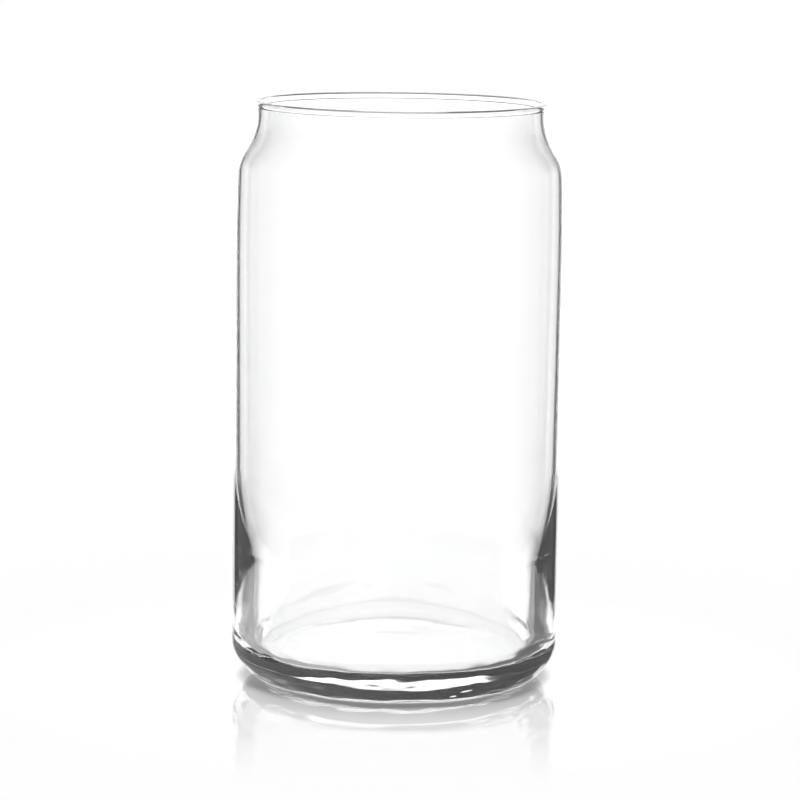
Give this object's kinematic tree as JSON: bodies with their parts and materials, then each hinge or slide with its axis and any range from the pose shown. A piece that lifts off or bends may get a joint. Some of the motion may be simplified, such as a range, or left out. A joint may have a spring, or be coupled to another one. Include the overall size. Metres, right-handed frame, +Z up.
{
  "type": "can shaped drinking glass",
  "caption": "Clear drinking glass shaped like a can: straight thin wall, rounded heel, shoulder stepping in to a short neck, beaded rim, thick base and open mouth.",
  "frame": {"origin": "on the axis of the glass, in the plane of the ring that it stands on", "axes": "+Z up along the axis, from the base to the open rim; the glass is round, so +X and +Y are any two directions across it"},
  "size_m": [0.0762, 0.0762, 0.1333],
  "materials": {
    "clear_glass": "clear, smooth, fire-polished rim"
  },
  "bodies": {
    "root": {"glass": "clear_glass"}
  },
  "joints": []
}
